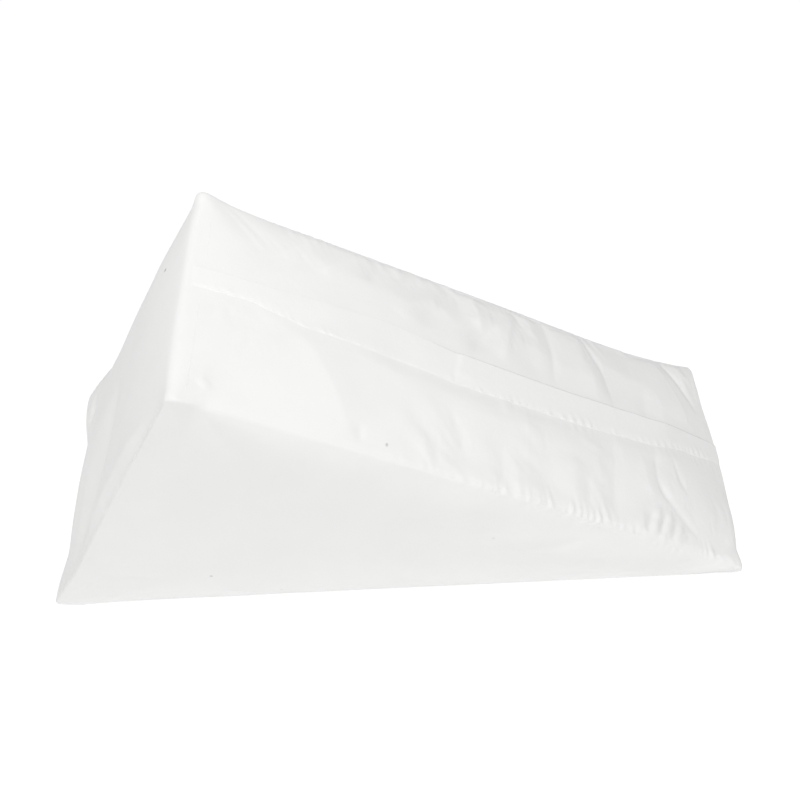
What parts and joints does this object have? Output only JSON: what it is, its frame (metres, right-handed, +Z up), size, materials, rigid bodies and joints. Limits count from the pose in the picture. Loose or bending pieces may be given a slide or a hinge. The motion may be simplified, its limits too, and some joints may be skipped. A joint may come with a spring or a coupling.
{
  "type": "wedge positioning pillow",
  "caption": "Foam wedge cushion in a sewn cloth cover with a flapped closure, laid under or behind a person to hold the body at an angle.",
  "frame": {"origin": "middle of the footprint, on the surface that the long face lies on", "axes": "+X from the heel to the thin point, +Y from the near side panel to the far one, +Z up to the ridge"},
  "size_m": [0.6068, 0.257, 0.2606],
  "materials": {
    "cover_cloth": "plain close-woven white cotton, matte",
    "flap_cloth": "the same cloth, folded double"
  },
  "bodies": {
    "root": {"filled_wedge": "cover_cloth", "closure_flap": "flap_cloth"}
  },
  "joints": []
}
